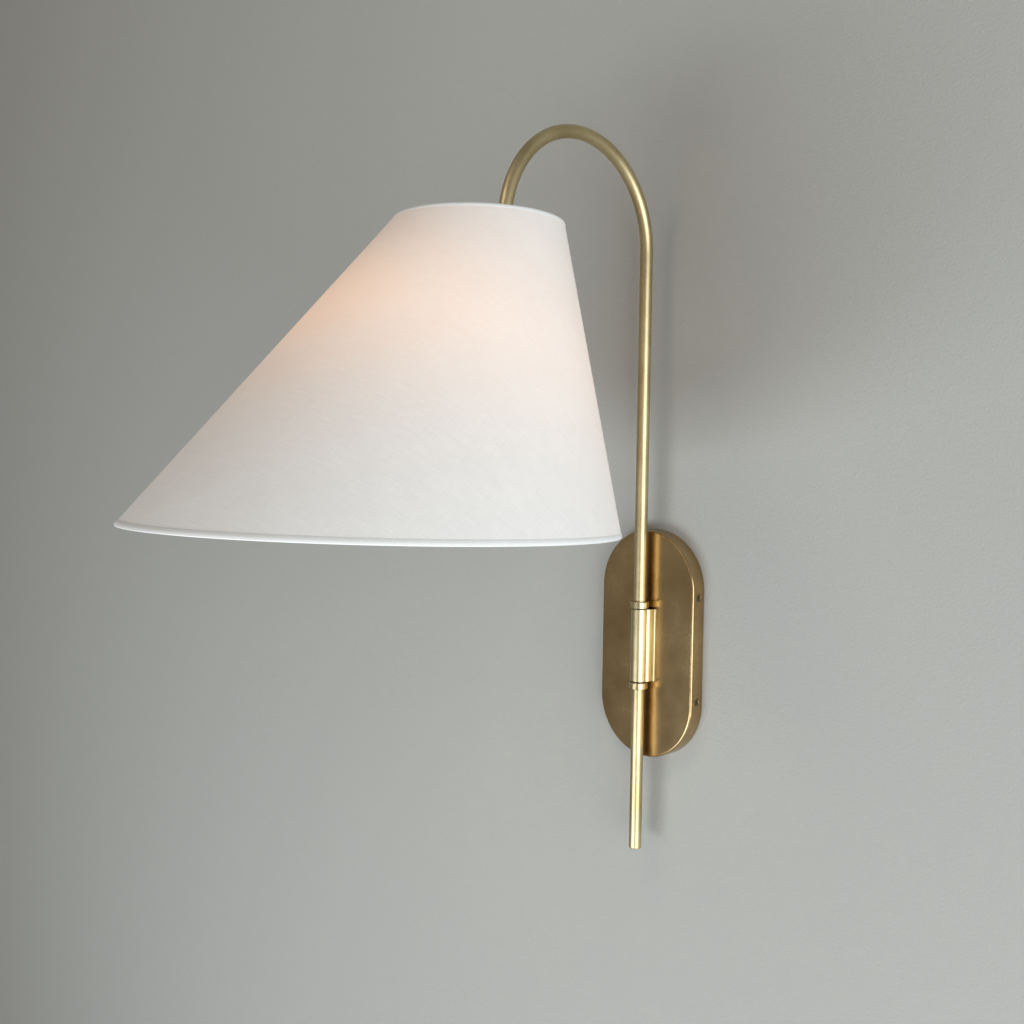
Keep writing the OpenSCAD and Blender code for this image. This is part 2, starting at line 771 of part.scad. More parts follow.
// The whole route, from the pivot's slot up the rod, over the arch and down to the terminal
function lead_route(side) =
    let (x = side * lead_x,
        corner = elbow_bend_r * tan(lamp_lean / 2),
        out = 270 - lamp_lean,
        last = lead_end_at - lead_side_r,
        last_stop = [[x, drop_y - last * sin(lamp_lean), elbow_z - last * cos(lamp_lean)],
            [1, 0, 0], [0, sin(out), -cos(out)]],
        turned = side_turn(last_stop, side, lead_side_r, 4),
        end = turned[len(turned) - 1])
    concat(
        [stop_at(x, [axis_y + rod_r - lead_end_gap, 0], 0, 180)],
        [for (a = [180 : -15 : 90])
            stop_at(x, [axis_y + lead_bend_r, lead_bend_r], -lead_bend_r, a)],
        [for (a = [90 : 7.5 : 270]) stop_at(x, [axis_y - arch_r, spring_z], arch_r, a)],
        [for (i = [0 : 4]) stop_at(x, [drop_y - elbow_bend_r, elbow_z + corner],
            -elbow_bend_r, 270 - lamp_lean * i / 4)],
        [last_stop], turned,
        [[end[0] + side * (terminal_x - lead_x - lead_side_r) * [1, 0, 0], end[1], end[2]]]);

// Round wire swept along a route
module wire(route) {
    n = len(route);
    polyhedron(
        points = [for (stop = route, i = [0 : lead_sides - 1])
            let (a = 360 * i / lead_sides)
            stop[0] + lead_r * (cos(a) * stop[1] + sin(a) * stop[2])],
        faces = concat(
            [[for (i = [0 : lead_sides - 1]) i]],
            [[for (i = [0 : lead_sides - 1]) n * lead_sides - 1 - i]],
            [for (j = [0 : n - 2], i = [0 : lead_sides - 1])
                let (m = (i + 1) % lead_sides)
                each [[j * lead_sides + i, (j + 1) * lead_sides + i,
                        (j + 1) * lead_sides + m],
                    [j * lead_sides + i, (j + 1) * lead_sides + m,
                        j * lead_sides + m]]]));
}

module arm_lead_black() color([0.06, 0.06, 0.06]) wire(lead_route(1));

module arm_lead_white() color([0.90, 0.90, 0.88]) wire(lead_route(-1));

// ---- lamp ----

module bulb_diffuser() color([1.0, 0.96, 0.88]) in_holder()
    rotate_extrude() intersection() {
        translate([0, -bulb_mid]) difference() {
            circle(bulb_r);
            circle(bulb_r - diffuser_wall);
        }
        translate([0, -bulb_tip - cut]) square([bulb_r + cut, bulb_tip + cut - diffuser_at]);
    }

// Radius of the lamp's body, swelling from its neck to the diffuser
function housing_r(u) = neck_r + (diffuser_start_r - neck_r) * pow(u, 1.5);

module bulb_housing() color([0.94, 0.93, 0.90]) in_holder() {
    l = diffuser_at - base_end;
    us = [for (i = [0 : housing_steps]) i / housing_steps];
    outer = [for (u = us) [housing_r(u), -base_end - u * l]];
    inner = [for (u = us) [housing_r(1 - u) - housing_wall, -base_end - (1 - u) * l]];
    rotate_extrude() polygon(concat(outer, inner));
}

module bulb_led_board() color([0.92, 0.92, 0.86]) in_holder()
    holder_rod(diffuser_at - board_t - board_up, diffuser_at - board_up,
        housing_r(board_r) - housing_wall - board_gap);

module bulb_screw_base() color([0.78, 0.78, 0.78]) in_holder() {
    cone_end = bulb_foot + base_thread;
    rotate_extrude() polygon([
        [0, -bulb_foot - base_cone], [base_seat_r, -bulb_foot - base_cone],
        [base_r - base_shoulder, -cone_end + base_shoulder], [base_r, -cone_end],
        [base_r, -base_end], [base_r - base_wall, -base_end],
        [base_r - base_wall, -cone_end],
        [base_r - base_shoulder - base_wall, -cone_end + base_shoulder - base_wall / 2],
        [base_seat_r - base_wall, -bulb_foot - base_cone - base_wall],
        [0, -bulb_foot - base_cone - base_wall]]);
}

module bulb_foot_contact() color([0.70, 0.68, 0.62]) in_holder()
    holder_rod(bulb_foot, bulb_foot + base_cone, foot_contact_r);

// ---- shade ----

module shade_spider() color(brass) {
    drop = ring_up;
    ring_reach = cone_r(drop) - sheet_t - ring_in;
    c = cos(shade_tilt);
    s = sin(shade_tilt);
    ring_y = shade_y + cone_y(drop) * c - drop * s;
    ring_z = top_z - cone_y(drop) * s - drop * c;
    in_shade() wire_ring(drop);
    difference() {
        union() {
            translate([0, drop_y, hub_z - hub_t]) cylinder(r = hub_r, h = hub_t);
            for (a = spider_arms) {
                along = -(drop_y - ring_y) * sin(a);
                l = along + sqrt(pow(along, 2) - pow(drop_y - ring_y, 2) + pow(ring_reach, 2));
                end_y = drop_y + l * sin(a);
                end_z = ring_z + (ring_y - end_y) * tan(shade_tilt);
                translate([0, drop_y, hub_z - hub_t]) rotate([0, 0, a])
                    translate([hub_r - 2, -arm_strip_w / 2, 0])
                        cube([l - hub_r + 2 + riser_r + 1, arm_strip_w, hub_t]);
                translate([l * cos(a), end_y, hub_z - hub_t])
                    cylinder(r = riser_r, h = end_z - hub_z + hub_t);
            }
        }
        translate([0, drop_y, hub_z - hub_t - cut])
            cylinder(r = thread_r + fit_gap, h = hub_t + 2 * cut);
    }
}

module shade_bottom_ring() color(steel) in_shade() wire_ring(shade_h - ring_up);

module shade_liner() color([0.95, 0.95, 0.94]) in_shade()
    cone_sheet([[0, linen_t], [shade_h, linen_t], [shade_h, sheet_t], [0, sheet_t]]);

module shade_linen() color(linen_white) in_shade()
    cone_sheet([[0, 0], [shade_h, 0], [shade_h, linen_t], [0, linen_t]]);

module shade_top_trim() color(linen_white) in_shade()
    cone_sheet([[-band_t, -band_t], [top_band_h, -band_t], [top_band_h, 0], [0, 0],
        [0, sheet_t], [-band_t, sheet_t]]);

module shade_bottom_trim() color(linen_white) in_shade()
    cone_sheet([[shade_h - hem_h, -band_t], [shade_h + band_t, -band_t],
        [shade_h + band_t, sheet_t], [shade_h, sheet_t], [shade_h, 0],
        [shade_h - hem_h, 0]]);

wall_plate();
mounting_bracket();
plate_side_screws();
ground_screw();
pivot_block();
pivot_block_screws();
upper_bush();
lower_bush();
wire_grommet();
canopy_lead_black();
canopy_lead_white();
ground_lead();
wire_connectors();
arm_tube();
rod_end_plug();
upper_collar();
lower_collar();
collar_set_screws();
tube_end_coupler();
coupler_set_screw();
lamp_nipple();
shade_lock_nut();
socket_elbow();
socket_cap();
socket_cap_nut();
socket_body();
socket_screw_shell();
socket_contact();
terminal_screws();
arm_lead_black();
arm_lead_white();
bulb_diffuser();
bulb_housing();
bulb_led_board();
bulb_screw_base();
bulb_foot_contact();
shade_spider();
shade_bottom_ring();
shade_liner();
shade_linen();
shade_top_trim();
shade_bottom_trim();
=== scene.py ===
import math

import bmesh
import bpy
from mathutils import Matrix, Vector


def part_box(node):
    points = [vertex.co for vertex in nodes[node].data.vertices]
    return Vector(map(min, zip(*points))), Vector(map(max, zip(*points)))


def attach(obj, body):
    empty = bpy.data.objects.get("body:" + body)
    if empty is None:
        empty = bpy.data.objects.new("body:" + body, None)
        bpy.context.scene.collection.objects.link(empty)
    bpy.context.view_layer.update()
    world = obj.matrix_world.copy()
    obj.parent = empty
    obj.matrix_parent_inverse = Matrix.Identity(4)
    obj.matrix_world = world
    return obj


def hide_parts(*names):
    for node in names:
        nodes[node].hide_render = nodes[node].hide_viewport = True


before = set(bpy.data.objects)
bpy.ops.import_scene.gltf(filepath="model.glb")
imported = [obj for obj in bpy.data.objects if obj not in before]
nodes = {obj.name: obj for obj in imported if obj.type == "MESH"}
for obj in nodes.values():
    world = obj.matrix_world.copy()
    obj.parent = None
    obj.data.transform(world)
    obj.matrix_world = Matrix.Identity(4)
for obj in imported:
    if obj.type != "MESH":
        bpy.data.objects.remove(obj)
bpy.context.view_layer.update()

# ---- Camera -----------------------------------------------------------------------------
# A 40 mm lens, held to the right of the lamp and a little above its wall plate, turned
# slightly down.
camera_data = bpy.data.cameras.new("camera")
camera_data.sensor_width = 36
camera_data.lens = 40.45
camera = bpy.data.objects.new("camera", camera_data)
bpy.context.scene.collection.objects.link(camera)
camera_turn = math.radians(45.82)
camera_dip = math.radians(-2.94)
camera_roll = math.radians(0.79)
camera.location = (0.7395, -0.9286, 0.1925)
camera.rotation_euler = (
    Matrix.Rotation(camera_turn, 3, "Z")
    @ Matrix.Rotation(math.pi / 2 + camera_dip, 3, "X")
    @ Matrix.Rotation(camera_roll, 3, "Z")
).to_euler()
bpy.context.scene.camera = camera

# ---- Mounting bracket -------------------------------------------------------------------
# Zinc plated steel sheet, punched and folded, screwed to the junction box. Its two
# flanges take the screws that hold the wall plate.


def new_finish(name, colour, roughness, metallic=0.0):
    """A material with one Principled shader; gives the material, its tree and the shader."""
    material = bpy.data.materials.new(name)
    material.use_nodes = True
    shader = material.node_tree.nodes["Principled BSDF"]
    shader.inputs["Base Color"].default_value = (*colour, 1)
    shader.inputs["Roughness"].default_value = roughness
    shader.inputs["Metallic"].default_value = metallic
    return material, material.node_tree, shader


def object_place(tree, scale=(1, 1, 1)):
    """Object coordinates, stretched along each axis by a Mapping node."""
    place = tree.nodes.new("ShaderNodeTexCoord")
    mapping = tree.nodes.new("ShaderNodeMapping")
    mapping.inputs["Scale"].default_value = scale
    tree.links.new(place.outputs["Object"], mapping.inputs["Vector"])
    return mapping.outputs["Vector"]


def noise(tree, place, scale, detail=3.0, rough=0.5):
    """The grey output of a Noise node; scale is in patches to a unit of place."""
    made = tree.nodes.new("ShaderNodeTexNoise")
    made.inputs["Scale"].default_value = scale
    made.inputs["Detail"].default_value = detail
    made.inputs["Roughness"].default_value = rough
    tree.links.new(place, made.inputs["Vector"])
    return made.outputs["Fac"]


def ramp(tree, value, stops):
    """A colour ramp over a grey value; stops are (position, colour) pairs."""
    made = tree.nodes.new("ShaderNodeValToRGB")
    tree.links.new(value, made.inputs["Fac"])
    elements = made.color_ramp.elements
    while len(elements) < len(stops):
        elements.new(0.5)
    for element, (position, colour) in zip(elements, stops):
        element.position = position
        element.color = (*colour, 1)
    return made.outputs["Color"]


def span(tree, value, low, high, to_low, to_high):
    """Maps a grey value from one range to another."""
    made = tree.nodes.new("ShaderNodeMapRange")
    made.inputs["From Min"].default_value = low
    made.inputs["From Max"].default_value = high
    made.inputs["To Min"].default_value = to_low
    made.inputs["To Max"].default_value = to_high
    tree.links.new(value, made.inputs["Value"])
    return made.outputs["Result"]


def bump(tree, shader, height, distance, strength=1.0):
    """Bumps a shader's surface by a grey height; distance is in metres."""
    made = tree.nodes.new("ShaderNodeBump")
    made.inputs["Distance"].default_value = distance
    made.inputs["Strength"].default_value = strength
    tree.links.new(height, made.inputs["Height"])
    tree.links.new(made.outputs["Normal"], shader.inputs["Normal"])


def dress(material, *names):
    """Gives CAD nodes this material."""
    for name in names:
        nodes[name].data.materials.clear()
        nodes[name].data.materials.append(material)


def zinc_steel():
    """Zinc plating, with faint lighter and darker flakes and fine pits."""
    light_flake, dark_flake = (0.62, 0.62, 0.59), (0.46, 0.46, 0.45)
    pit_depth = 0.00003
    made, tree, shader = new_finish("zinc_steel", (0.55, 0.55, 0.53), roughness=0.4, metallic=1.0)
    flakes = noise(tree, object_place(tree), scale=260, detail=2)
    tree.links.new(
        ramp(tree, flakes, [(0.35, dark_flake), (0.65, light_flake)]),
        shader.inputs["Base Color"],
    )
    tree.links.new(span(tree, flakes, 0.3, 0.7, 0.33, 0.5), shader.inputs["Roughness"])
    pits = noise(tree, object_place(tree), scale=900, detail=2)
    bump(tree, shader, pits, pit_depth)
    return made


zinc = zinc_steel()
dress(zinc, "mounting_bracket")

# ---- Earth screw and leads --------------------------------------------------------------
# A green passivated screw holds the copper earth wire's ring on the bracket. Two insulated
# leads run from the lamp holder through the rod to moulded connectors behind the plate.


def moulded(name, colour, roughness, grain=700, depth=0.00004):
    """Plastic or paint with a fine unevenness: grain in patches per metre, depth in
    metres. Its darker patches are a little shinier."""
    dark_share = 0.86
    made, tree, shader = new_finish(name, colour, roughness)
    place = object_place(tree)
    patches = noise(tree, place, scale=60, detail=3)
    dark = tuple(channel * dark_share for channel in colour)
    tree.links.new(
        ramp(tree, patches, [(0.3, dark), (0.7, colour)]), shader.inputs["Base Color"]
    )
    tree.links.new(
        span(tree, patches, 0.3, 0.7, roughness - 0.05, roughness + 0.07),
        shader.inputs["Roughness"],
    )
    bump(tree, shader, noise(tree, place, scale=grain, detail=2), depth)
    return made


green_screw = moulded("green_screw", (0.05, 0.28, 0.09), roughness=0.35)
copper, copper_tree, copper_shader = new_finish(
    "copper", (0.62, 0.27, 0.13), roughness=0.3, metallic=1.0)
copper_tone = noise(copper_tree, object_place(copper_tree), scale=300, detail=3)
copper_tree.links.new(
    ramp(copper_tree, copper_tone, [(0.3, (0.42, 0.17, 0.08)), (0.7, (0.70, 0.32, 0.16))]),
    copper_shader.inputs["Base Color"],
)
lead_black = moulded("black_lead", (0.015, 0.015, 0.015), roughness=0.45)
lead_white = moulded("white_lead", (0.78, 0.78, 0.74), roughness=0.45)
orange = moulded("orange_plastic", (0.70, 0.16, 0.03), roughness=0.35)
dress(green_screw, "ground_screw")
dress(copper, "ground_lead")
dress(lead_black, "canopy_lead_black", "arm_lead_black")
dress(lead_white, "canopy_lead_white", "arm_lead_white")
dress(orange, "wire_connectors")

# ---- Wall plate -------------------------------------------------------------------------
# A pill-shaped pan of brass with a rounded front edge, brushed from end to end and aged to
# a brown gold. Screws in its two long sides hold it on the bracket.


def sums(tree, kind, first, second):
    """A Math node; first and second are sockets or plain numbers."""
    made = tree.nodes.new("ShaderNodeMath")
    made.operation = kind
    for socket, value in zip(made.inputs, (first, second)):
        if isinstance(value, (int, float)):
            socket.default_value = value
        else:
            tree.links.new(value, socket)
    return made.outputs["Value"]


def satin_brass(name, grain, light, dark, roughness):
    """Aged brass, brushed along one axis: grain is how fast the scratches change along
    X, Y and Z, in steps per metre."""
    cloud_share, spot_share, scratch_share = 0.7, 0.24, 0.06
    cloud_rough, scratch_rough, middle_rough = 0.14, 0.04, 0.09
    scratch_depth = 0.000004
    made, tree, shader = new_finish(name, light, roughness, metallic=1.0)
    place = object_place(tree)
    cloud = noise(tree, place, scale=22, detail=4, rough=0.55)
    spots = noise(tree, place, scale=240, detail=3, rough=0.6)
    stretched = object_place(tree, scale=grain)
    scratch = noise(tree, stretched, scale=1.0, detail=4, rough=0.6)
    age = sums(tree, "ADD", sums(tree, "MULTIPLY", cloud, cloud_share),
               sums(tree, "ADD", sums(tree, "MULTIPLY", spots, spot_share),
                    sums(tree, "MULTIPLY", scratch, scratch_share)))
    tree.links.new(
        ramp(tree, age, [(0.36, dark), (0.62, light)]), shader.inputs["Base Color"]
    )
    rough = sums(tree, "ADD", sums(tree, "MULTIPLY", cloud, cloud_rough),
                 sums(tree, "MULTIPLY", scratch, scratch_rough))
    tree.links.new(
        sums(tree, "ADD", rough, roughness - middle_rough), shader.inputs["Roughness"]
    )
    bump(tree, shader, scratch, scratch_depth)
    return made


plate_brass = satin_brass(
    "plate_brass", grain=(1600, 1600, 26), light=(0.53, 0.37, 0.187),
    dark=(0.405, 0.272, 0.13), roughness=0.255)
dress(plate_brass, "wall_plate")

# ---- Screws of the plate and the block --------------------------------------------------
# Four countersunk brass screws with a cross recess, turned down just under the plate's
# sides and browner than the plate. Two zinc plated screws hold the block from behind.
screw_brass = satin_brass(
    "screw_brass", grain=(700, 700, 700), light=(0.40, 0.30, 0.17),
    dark=(0.22, 0.16, 0.09), roughness=0.36)
dress(screw_brass, "plate_side_screws")
dress(zinc, "pivot_block_screws")

# ---- Bushes and grommet -----------------------------------------------------------------
# Black acetal sleeves that the rod turns in, one in each end of the barrel, and the sleeve
# that guards the leads where they pass through the plate.
black_plastic = moulded("black_plastic", (0.02, 0.02, 0.02), roughness=0.42)
dress(black_plastic, "upper_bush", "lower_bush", "wire_grommet")

# ---- Pivot block, arm tube and its collars ----------------------------------------------
# Drawn brass tube, bent over a former to a half circle and brushed along its length, as is
# the block it swings in. Collars, coupler and elbow are machined from bar.
LIGHT_BRASS = (0.67, 0.56, 0.33)
AGED_BRASS = (0.54, 0.43, 0.235)
tube_brass = satin_brass("tube_brass", (900, 900, 60), LIGHT_BRASS, AGED_BRASS, roughness=0.4)
turned_brass = satin_brass(
    "turned_brass", (60, 60, 2200), LIGHT_BRASS, AGED_BRASS, roughness=0.28)
block_brass = satin_brass(
    "block_brass", (900, 900, 60), LIGHT_BRASS, AGED_BRASS, roughness=0.32)
dress(tube_brass, "arm_tube", "rod_end_plug")
dress(block_brass, "pivot_block")
dress(turned_brass, "upper_collar", "lower_collar", "tube_end_coupler", "socket_elbow")
dress(zinc, "collar_set_screws", "coupler_set_screw", "socket_cap_nut", "terminal_screws")

# ---- Nipple, nut and contacts -----------------------------------------------------------
# The threaded nipple under the tube's end, the nut that clamps the shade's hub, and the
# holder's shell and contact. All are plain machined brass, hidden by the shade.
raw_brass = satin_brass(
    "raw_brass", grain=(500, 500, 500), light=(0.72, 0.54, 0.27),
    dark=(0.58, 0.42, 0.2), roughness=0.3)
dress(raw_brass, "lamp_nipple", "shade_lock_nut", "socket_screw_shell", "socket_contact")

# ---- Lamp holder ------------------------------------------------------------------------
# A drawn brass cap over a moulded black phenolic body. The cap is held on the elbow by
# its nut.
dress(turned_brass, "socket_cap")
phenolic = moulded("black_phenolic", (0.02, 0.018, 0.016), roughness=0.38)
dress(phenolic, "socket_body")

# ---- Lamp -------------------------------------------------------------------------------
# An LED lamp, screwed into the holder: white plastic housing, aluminium board and screw
# base, and a frosted dome that glows warm.
white_plastic = moulded("white_plastic", (0.80, 0.79, 0.75), roughness=0.35)
dress(white_plastic, "bulb_housing")
aluminium, aluminium_tree, aluminium_shader = new_finish(
    "aluminium", (0.65, 0.65, 0.64), roughness=0.35, metallic=1.0)
aluminium_tone = noise(aluminium_tree, object_place(aluminium_tree), scale=400, detail=3)
aluminium_tree.links.new(
    span(aluminium_tree, aluminium_tone, 0.3, 0.7, 0.28, 0.45),
    aluminium_shader.inputs["Roughness"],
)
dress(aluminium, "bulb_screw_base", "bulb_foot_contact", "bulb_led_board")
dome, dome_tree, dome_shader = new_finish("frosted_dome", (1.0, 0.95, 0.88), roughness=0.5)
dome_shader.inputs["Emission Color"].default_value = (1.0, 0.80, 0.56, 1)
dome_shader.inputs["Emission Strength"].default_value = 24
dress(dome, "bulb_diffuser")

# ---- Shade frame ------------------------------------------------------------------------
# Steel wire, bent and welded, and powder coated white. The spider's ring holds the top of
# the shade on three arms and a hub, and a loose ring keeps its hem round.
ring_white = moulded("ring_wire", (0.80, 0.80, 0.78), roughness=0.45)
dress(ring_white, "shade_spider", "shade_bottom_ring")

# ---- Shade liner ------------------------------------------------------------------------
# A stiff translucent sheet that the linen is laminated on. It is cut flat, rolled into a
# cone that leans outwards, and closed on the wall's side.
SHADE_TILT = math.radians(1.5)
TOP_R = 0.073
BOTTOM_R = 0.1983
SHADE_H = 0.2626
SHADE_LEAN = 0.104
TOP_CENTRE = Vector((0, -0.2533, 0.390))
LINEN_T = 0.0006
LINER_T = 0.0008
HALF_GLUE = 0.00005
AROUND = 192
LINER_ROWS = 6


def shade_rings(name, section):
    """A sheet that follows the leaning cone, drawn ring by ring from a section of
    (depth below the top edge, distance out from the cone's face) points."""
    def ring(stop):
        drop, out = stop
        radius = TOP_R + (BOTTOM_R - TOP_R) * drop / SHADE_H + out
        return radius, Vector((0, -SHADE_LEAN * drop / SHADE_H, -drop))

    radius, centre = ring(section[0])
    bpy.ops.object.select_all(action="DESELECT")
    bpy.ops.mesh.primitive_circle_add(
        vertices=AROUND, radius=radius, location=centre, calc_uvs=False)
    sheet = bpy.context.object
    sheet.name = name
    bpy.ops.object.transform_apply(location=True, rotation=True, scale=True)
    bpy.ops.object.mode_set(mode="EDIT")
    bpy.ops.mesh.select_mode(type="EDGE")
    bpy.ops.mesh.select_all(action="SELECT")
    for stop in section[1:]:
        wider, below = ring(stop)
        bpy.ops.mesh.extrude_edges_move(
            TRANSFORM_OT_translate={"value": below - centre})
        growth = wider / radius
        bpy.ops.transform.resize(value=(growth, growth, 1), center_override=below)
        radius, centre = wider, below
    bpy.ops.object.mode_set(mode="OBJECT")
    return sheet


def flat_pattern():
    """The cone's cut, laid flat: the angle at the cone's tip from the seam to each of the
    steps round it, and the tip's place in the shade's own frame."""
    tip_drop = -TOP_R * SHADE_H / (BOTTOM_R - TOP_R)
    tip = Vector((0, -SHADE_LEAN * tip_drop / SHADE_H, -tip_drop))
    turned = [0.0]
    last = None
    for step in range(AROUND + 1):
        turn = math.pi / 2 + 2 * math.pi * step / AROUND
        rim = Vector((
            BOTTOM_R * math.cos(turn), BOTTOM_R * math.sin(turn) - SHADE_LEAN, -SHADE_H))
        ray = (rim - tip).normalized()
        if last is not None:
            turned.append(turned[-1] + last.angle(ray))
        last = ray
    return turned, tip


def map_flat(sheet):
    """Gives a sheet of the shade the UV map of its flat cut, one unit to the metre."""
    rounding = 1e-4
    turned, tip = flat_pattern()
    layer = sheet.data.uv_layers.new(name="cut")
    for face in sheet.data.polygons:
        shares = []
        for corner in face.loop_indices:
            point = sheet.data.vertices[sheet.data.loops[corner].vertex_index].co
            centre_y = SHADE_LEAN * point.z / SHADE_H
            turn = math.atan2(point.y - centre_y, point.x) - math.pi / 2
            shares.append((turn / (2 * math.pi)) % 1.0)
        crosses = max(shares) - min(shares) > 0.5
        for corner, share in zip(face.loop_indices, shares):
            if crosses and share < 0.5:
                share += 1
            step = share * AROUND
            whole = min(int(step + rounding), AROUND)
            ahead = min(whole + 1, AROUND)
            swept = turned[whole] + (turned[ahead] - turned[whole]) * (step - whole)
            swept -= turned[-1] / 2
            point = sheet.data.vertices[sheet.data.loops[corner].vertex_index].co
            reach = (point - tip).length
            layer.data[corner].uv = (reach * math.sin(swept), -reach * math.cos(swept))


def into_place(piece):
    """Tilts a piece made in the shade's frame and sets it on the lamp."""
    piece.data.transform(
        Matrix.Translation(TOP_CENTRE) @ Matrix.Rotation(-SHADE_TILT, 4, "X"))


def thicken(piece, thickness):
    """Turns a sheet's faces outwards and gives it its thickness on the inner side."""
    bpy.ops.object.select_all(action="DESELECT")
    piece.select_set(True)
    bpy.context.view_layer.objects.active = piece
    bpy.ops.object.mode_set(mode="EDIT")
    sheet_mesh = bmesh.from_edit_mesh(piece.data)
    right_most = max(sheet_mesh.faces, key=lambda face: face.calc_center_median().x)
    right_most.normal_update()
    bpy.ops.mesh.select_all(action="SELECT")
    if right_most.normal.x < 0:
        bpy.ops.mesh.flip_normals()
    bpy.ops.object.mode_set(mode="OBJECT")
    solid = piece.modifiers.new("thickness", "SOLIDIFY")
    solid.thickness = thickness
    solid.offset = -1
    solid.use_even_offset = True
    bpy.ops.object.modifier_apply(modifier=solid.name)
    bpy.ops.object.shade_smooth_by_angle(angle=math.radians(35))


liner_in = LINEN_T + HALF_GLUE
liner = shade_rings("shade_liner_sheet", [
    (SHADE_H * row / LINER_ROWS, -liner_in) for row in range(LINER_ROWS + 1)])
map_flat(liner)
into_place(liner)
thicken(liner, LINER_T)
liner_white = moulded("liner_white", (0.86, 0.85, 0.81), roughness=0.42, grain=1500, depth=0.00002)
liner.data.materials.append(liner_white)
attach(liner, "arm")
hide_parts("shade_liner")

# ---- Linen ------------------------------------------------------------------------------
# White plain weave linen with slubs, laminated on the liner and lapped along one seam on
# the wall's side. The lamp shines through it, strongest where it is nearest.
LINEN_ROWS = 12
SEAM_W = 0.012
LAP_T = 0.0005
LAMP_PLACE = (0, -0.32, 0.24)
GLOW = (0.428, 0.191, 0.063)
FULL_GLOW = 100
linen = shade_rings("linen_cone", [
    (SHADE_H * row / LINEN_ROWS, 0) for row in range(LINEN_ROWS + 1)])
map_flat(linen)
into_place(linen)
cut_points = [corner.uv.copy() for corner in linen.data.uv_layers["cut"].data]
seam = linen.copy()
seam.data = linen.data.copy()
seam.name = "linen_seam_lap"
bpy.context.scene.collection.objects.link(seam)
bpy.ops.object.select_all(action="DESELECT")
seam.select_set(True)
bpy.context.view_layer.objects.active = seam
bpy.ops.object.mode_set(mode="EDIT")
seam_mesh = bmesh.from_edit_mesh(seam.data)
bpy.ops.mesh.select_mode(type="FACE")
for face in seam_mesh.faces:
    middle = face.calc_center_median()
    face.select = not (abs(middle.x) < SEAM_W / 2 and middle.y > TOP_CENTRE.y)
bmesh.update_edit_mesh(seam.data)
bpy.ops.mesh.delete(type="FACE")
bpy.ops.mesh.select_all(action="SELECT")
bpy.ops.transform.shrink_fatten(value=LAP_T)
bpy.ops.object.mode_set(mode="OBJECT")
thicken(linen, LINEN_T - HALF_GLUE)


def paint_lamp_glow(tree, shader, tone):
    """The lamp's light in the cloth, painted on as a warm glow that the cloth gives off itself:
    it falls off with the square of the distance to the lamp and with the slant to it, and it is
    broken up by the weave's tone."""
    weave_part, weave_base = 0.4, 0.8
    place = tree.nodes.new("ShaderNodeTexCoord")
    away = tree.nodes.new("ShaderNodeVectorMath")
    away.operation = "SUBTRACT"
    tree.links.new(place.outputs["Object"], away.inputs[0])
    away.inputs[1].default_value = LAMP_PLACE
    reach = tree.nodes.new("ShaderNodeVectorMath")
    reach.operation = "LENGTH"
    tree.links.new(away.outputs["Vector"], reach.inputs[0])
    heading = tree.nodes.new("ShaderNodeVectorMath")
    heading.operation = "NORMALIZE"
    tree.links.new(away.outputs["Vector"], heading.inputs[0])
    facing = tree.nodes.new("ShaderNodeVectorMath")
    facing.operation = "DOT_PRODUCT"
    tree.links.new(heading.outputs["Vector"], facing.inputs[0])
    tree.links.new(place.outputs["Normal"], facing.inputs[1])
    falloff = sums(tree, "DIVIDE", sums(tree, "MAXIMUM", facing.outputs["Value"], 0.0),
                   sums(tree, "POWER", reach.outputs["Value"], 2.0))
    lit = sums(tree, "MULTIPLY", span(tree, falloff, 0, FULL_GLOW, 0.0, 1.0),
               sums(tree, "ADD", sums(tree, "MULTIPLY", tone, weave_part), weave_base))
    tree.links.new(
        ramp(tree, lit, [(0.0, (0, 0, 0)), (1.0, GLOW)]), shader.inputs["Emission Color"]
    )
    shader.inputs["Emission Strength"].default_value = 1.0


def woven_linen(name, thread_count, painted_glow=True):
    """Plain weave with slubs. thread_count is how fast the threads change across, per
    metre. Along a thread they change more slowly, by thread_run or slub_run."""
    weft_share, warp_share = 0.55, 0.45
    cloth_share, slub_share, worn_share = 0.7, 0.15, 0.15
    thread_run, slub_run = 0.05, 0.06
    warp_finer, slub_coarser = 1.1, 3
    thread_depth = 0.0001
    made, tree, shader = new_finish(name, (0.86, 0.855, 0.84), 0.85)
    uv = tree.nodes.new("ShaderNodeTexCoord").outputs["UV"]

    def threads(scale, stretch):
        mapping = tree.nodes.new("ShaderNodeMapping")
        mapping.inputs["Scale"].default_value = (scale * stretch[0], scale * stretch[1], 1)
        tree.links.new(uv, mapping.inputs["Vector"])
        return noise(tree, mapping.outputs["Vector"], scale=1.0, detail=3, rough=0.6)

    weft = threads(thread_count, (thread_run, 1))
    warp = threads(thread_count * warp_finer, (1, thread_run))
    cloth = sums(tree, "ADD", sums(tree, "MULTIPLY", weft, weft_share),
                 sums(tree, "MULTIPLY", warp, warp_share))
    slub = threads(thread_count / slub_coarser, (slub_run, 1))
    worn = noise(tree, object_place(tree), scale=30, detail=3)
    tone = sums(tree, "ADD", sums(tree, "MULTIPLY", cloth, cloth_share),
                sums(tree, "ADD", sums(tree, "MULTIPLY", slub, slub_share),
                     sums(tree, "MULTIPLY", worn, worn_share)))
    tree.links.new(
        ramp(tree, tone, [(0.36, (0.80, 0.795, 0.78)), (0.64, (0.895, 0.89, 0.875))]),
        shader.inputs["Base Color"],
    )
    bump(tree, shader, tone, thread_depth, strength=0.5)
    shader.inputs["Sheen Weight"].default_value = 0.1
    shader.inputs["Sheen Roughness"].default_value = 0.5
    # The shade's glow is painted into the cloth as emission, not lit through it.
    if painted_glow:
        paint_lamp_glow(tree, shader, tone)
    return made


white_linen = woven_linen("white_linen", thread_count=1100)
thicken(seam, LAP_T)
for cloth_piece in (linen, seam):
    cloth_piece.data.materials.append(white_linen)
    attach(cloth_piece, "arm")
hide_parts("shade_linen")

